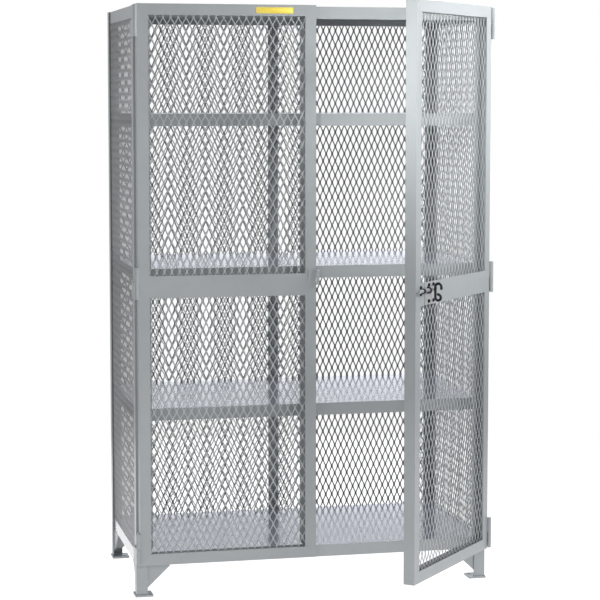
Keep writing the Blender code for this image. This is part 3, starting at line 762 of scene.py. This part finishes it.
def door_seams(name, door):
    """The ground flush welds of a door: its four mitres, their outer corners and the ends of the lock plate."""
    shape = bmesh.new()

    def face(a, b, out):
        return door.at(a, -out, b)

    leg, band = DOOR_LEG, 2 * SEAM_HALF
    mitre = ((0, 0), (band, 0), (leg, leg - band), (leg, leg), (leg - band, leg), (0, band))
    skin, near, far = 0.00006, 0.0012, 0.0024
    section = ((-skin, far), (-skin, near), (near, -skin), (far, -skin), (far, near), (near, far))
    low, high = LOCK_LOW + 0.0004, LOCK_HIGH - 0.0004
    for a0, sa in ((0.0, 1), (DOOR_WIDTH, -1)):
        for b0, sb in ((DOOR_BOTTOM, 1), (HEIGHT, -1)):
            seam(shape, [(a0 + sa * a, b0 + sb * b) for a, b in mitre], face)
            rings = []
            for back in (SEAM_DEEP, DOOR_DEPTH - SEAM_DEEP):
                points = [door.at(a0 + sa * a, back, b0 + sb * b) for a, b in section]
                rings.append([shape.verts.new(point) for point in points])
            close_rings(shape, rings)
        end = a0 + sa * (DOOR_LEG + FIT_GAP / 2)
        left, right = end - SEAM_HALF, end + SEAM_HALF
        seam(shape, ((left, low), (right, low), (right, high), (left, high)), face)
    piece(name + "_seams", mesh_of(name + "_seams", shape), DOOR_PAINT, name, smooth_deg=30)


def door_welds(name, door):
    """Fillets where the barrels' door leaves, and the lock plate, meet the door's channels."""
    shape = bmesh.new()
    outside = -0.0002
    leaf_front, leaf_back, past_leaf = 0.004, 0.0262, 0.0282
    for level in HINGE_LEVELS:
        low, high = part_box(f"{name}_hinge_{level}")
        for up in (low[2], high[2]):
            bead(shape, [door.at(outside, leaf_front, up), door.at(outside, leaf_back, up)], radius=0.0011)
        half = high[2] - HALF_BARREL
        bead(shape, [door.at(outside, past_leaf, half), door.at(outside, past_leaf, high[2])], radius=0.0014)
    lap, reach = 0.0006, 0.007
    behind = DOOR_STEEL - lap
    for along, sign in ((DOOR_LEG, 1), (DOOR_WIDTH - DOOR_LEG, -1)):
        start, end = along - sign * lap, along + sign * reach
        for up in (LOCK_LOW, LOCK_HIGH):
            bead(shape, [door.at(start, behind, up), door.at(end, behind, up)], radius=0.0012)
    piece(name + "_welds", mesh_of(name + "_welds", shape), WELD_PAINT, name, smooth_deg=60)


def post_hinge_welds(shape, side_name, x, sign):
    """Fillets along the back edge and the ends of each hinge leaf on a post."""
    outside = x + sign * 0.0004
    leaf_front, leaf_back, past_leaf = 0.001, 0.029, 0.0302
    for level in HINGE_LEVELS:
        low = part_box(f"{side_name}_post_hinge_{level}")[0]
        top = low[2] + HALF_BARREL
        bead(shape, [corner(outside, past_leaf, low[2]), corner(outside, past_leaf, top)], radius=0.0018)
        for up in (low[2], top):
            bead(shape, [corner(outside, leaf_front, up), corner(outside, leaf_back, up)], radius=0.0016)


def leg_welds(shape, x, sx, y, sy):
    """Fillets of the post whose outer corner is at (x, y): its gussets, its pad and the pans' lips."""

    def at(a, b, z):
        return corner(x + sx * a, y + sy * b, z)

    leg, layer, inner = POST_LEG, SIDE_LAYER, SIDE_LAYER - FIT_GAP
    low, high, end = GUSSET_LOW, GUSSET_HIGH, GUSSET_END
    upright_top = high - 0.0004
    gusset_paths = (
        [at(leg, inner, low), at(leg, inner, upright_top)],
        [at(leg, layer, high), at(end, layer, high)],
        [at(inner, leg, low), at(inner, leg, upright_top)],
        [at(layer, leg, high), at(layer, end, high)],
    )
    for path in gusset_paths:
        bead(shape, path, radius=0.0013)
    for side, radius in ((0.0, 0.0018), (POST_STEEL, 0.0016)):
        bead(shape, [at(leg, side, PAD_TOP), at(side, side, PAD_TOP), at(side, leg, PAD_TOP)], radius)
    back = POST_STEEL + 0.0002
    for top in (BOTTOM_SHELF_TOP, *SHELF_TOPS, TOP_PAN_TOP):
        bead(shape, [at(leg, back, top - 0.04), at(leg, back, top - 0.002)], radius=0.0011)


def frame_welds():
    """Fillets of the frame: hinge leaves, gussets, pads, the ends of the pans and the centre bar."""
    shape = bmesh.new()
    for side_name, x, sign in (("left", 0.0, -1), ("right", WIDTH, 1)):
        post_hinge_welds(shape, side_name, x, sign)
    for x, sx in ((0.0, 1), (WIDTH, -1)):
        for y, sy in ((0.0, 1), (DEPTH, -1)):
            leg_welds(shape, x, sx, y, sy)
    back = DEPTH - 0.0045
    for top in (*SHELF_TOPS, TOP_PAN_TOP):
        for x in BAR_EDGES:
            bead(shape, [corner(x, back, top - 0.039), corner(x, back, top - 0.004)], radius=0.001)
    piece("frame_welds", mesh_of("frame_welds", shape), WELD_PAINT, "cabinet", smooth_deg=60)


# Studio

FLOOR_GLOW = 0.97
FLOOR_RADIUS = 3.0
FLOOR_SIDES = 96

# The room that lights the part: its strength all round, and lobes of (direction, sharpness, strength, colour)
ROOM_ALL = 0.08
ROOM_LOBES = {
    "room_up": ((0, 0, 1), 1, 0.1, (1, 1, 1)),
    "room_back": ((0.38, 0.92, 0.3), 8, 1.65, (0.965, 0.985, 1.055)),
    "room_left": ((-1, 0, 0), 2, 0.15, (1, 1, 1)),
}

# Soft boxes: place, target, size, spread in degrees, power in watts
SOFT_BOXES = {
    "front_right": ((3.0, -4.5, 1.8), (0.2, 0, 1.0), (1.6, 1.6), 180, 75),
    "front_left": ((-1.6, -5.4, 1.6), (0.0, 0, 1.0), (1.8, 1.8), 180, 58),
    "left_back": ((-4.0, 2.0, 2.5), (0, 0.1, 1.0), (3.0, 3.4), 180, 108),
    "right_high": ((2.3, -0.4, 2.7), (0.5, -0.25, 1.8), (0.8, 0.8), 70, 10.5),
    "web": ((-1.0, -1.9, 2.3), (0.22, -0.57, 1.75), (0.35, 0.35), 36, 2.2),
    "door_top": ((2.0, -2.0, 2.9), (0.4, -0.35, 1.85), (0.7, 0.7), 40, 3.6),
}

# The camera stands in front of the cabinet, to its left, and looks a little down and to the right
LENS = 118.655
SHIFT_UP = -0.05
CAMERA_PLACE = (-1.5435, -6.5480, 1.6720)
LOOK_DOWN_DEG = 4.962
LOOK_RIGHT_DEG = 12.968


def world_shader(world):
    """A plain white room: the camera sees it white, and the part is lit by it more strongly from some sides."""
    world.use_nodes = True
    tree = world.node_tree
    tree.nodes.clear()

    def background(name, colour, strength):
        item = tree.nodes.new("ShaderNodeBackground")
        item.name = name
        item.inputs["Color"].default_value = (*colour, 1)
        item.inputs["Strength"].default_value = strength
        return item

    place = tree.nodes.new("ShaderNodeTexCoord")
    total = background("room_all", (1, 1, 1), ROOM_ALL).outputs[0]
    for name, (direction, sharpness, strength, colour) in ROOM_LOBES.items():
        along = tree.nodes.new("ShaderNodeVectorMath")
        along.operation = "DOT_PRODUCT"
        along.inputs[1].default_value = Vector(direction).normalized()
        tree.links.new(place.outputs["Generated"], along.inputs[0])
        value = along.outputs["Value"]
        for operation, number in (("MAXIMUM", 0.0), ("POWER", sharpness), ("MULTIPLY", strength)):
            item = tree.nodes.new("ShaderNodeMath")
            item.operation = operation
            item.inputs[1].default_value = number
            tree.links.new(value, item.inputs[0])
            value = item.outputs[0]
        lobe = background(name, colour, 0)
        tree.links.new(value, lobe.inputs["Strength"])
        both = tree.nodes.new("ShaderNodeAddShader")
        tree.links.new(total, both.inputs[0])
        tree.links.new(lobe.outputs[0], both.inputs[1])
        total = both.outputs[0]
    seen = background("seen", (1, 1, 1), 1)
    path = tree.nodes.new("ShaderNodeLightPath")
    pick = tree.nodes.new("ShaderNodeMixShader")
    output = tree.nodes.new("ShaderNodeOutputWorld")
    tree.links.new(path.outputs["Is Camera Ray"], pick.inputs[0])
    tree.links.new(total, pick.inputs[1])
    tree.links.new(seen.outputs[0], pick.inputs[2])
    tree.links.new(pick.outputs[0], output.inputs[0])


def studio():
    floor_mesh = bpy.data.meshes.new("studio_floor")
    around = [math.tau * k / FLOOR_SIDES for k in range(FLOOR_SIDES)]
    rim = [(FLOOR_RADIUS * math.cos(a), FLOOR_RADIUS * math.sin(a), 0) for a in around]
    floor_mesh.from_pydata(rim, [], [range(FLOOR_SIDES)])
    floor_mesh.materials.append(floor_paper("studio_floor_paper", FLOOR_GLOW))
    floor = bpy.data.objects.new("studio_floor", floor_mesh)
    scene.collection.objects.link(floor)

    scene.world = bpy.data.worlds.new("studio_world")
    world_shader(scene.world)
    scene.view_settings.view_transform = "Standard"

    for name, (place, target, size, spread, power) in SOFT_BOXES.items():
        light = bpy.data.lights.new(name, "AREA")
        light.shape = "RECTANGLE"
        light.size, light.size_y = size
        light.spread = math.radians(spread)
        light.energy = power
        item = bpy.data.objects.new(name, light)
        item.location = place
        item.rotation_euler = (Vector(target) - Vector(place)).to_track_quat("-Z", "Y").to_euler()
        scene.collection.objects.link(item)


def camera():
    data = bpy.data.cameras.new("camera")
    data.sensor_width = 36.0
    data.lens = LENS
    data.shift_y = SHIFT_UP
    data.clip_end = 200
    item = bpy.data.objects.new("camera", data)
    item.location = CAMERA_PLACE
    item.rotation_euler = (math.radians(90 - LOOK_DOWN_DEG), 0, math.radians(-LOOK_RIGHT_DEG))
    scene.collection.objects.link(item)
    scene.camera = item


dress_cad()
wall_sheets()
door_sheet("left_door", LEFT, LEFT_DOOR_PATTERN, LEFT_DOOR_CENTRE)
door_sheet("right_door", RIGHT, RIGHT_DOOR_PATTERN, RIGHT_DOOR_CENTRE)
hex_bolts()
latch_guide()
blank_plate()
for door_name, door_frame in (("left_door", LEFT), ("right_door", RIGHT)):
    door_seams(door_name, door_frame)
    door_welds(door_name, door_frame)
frame_welds()
studio()
camera()
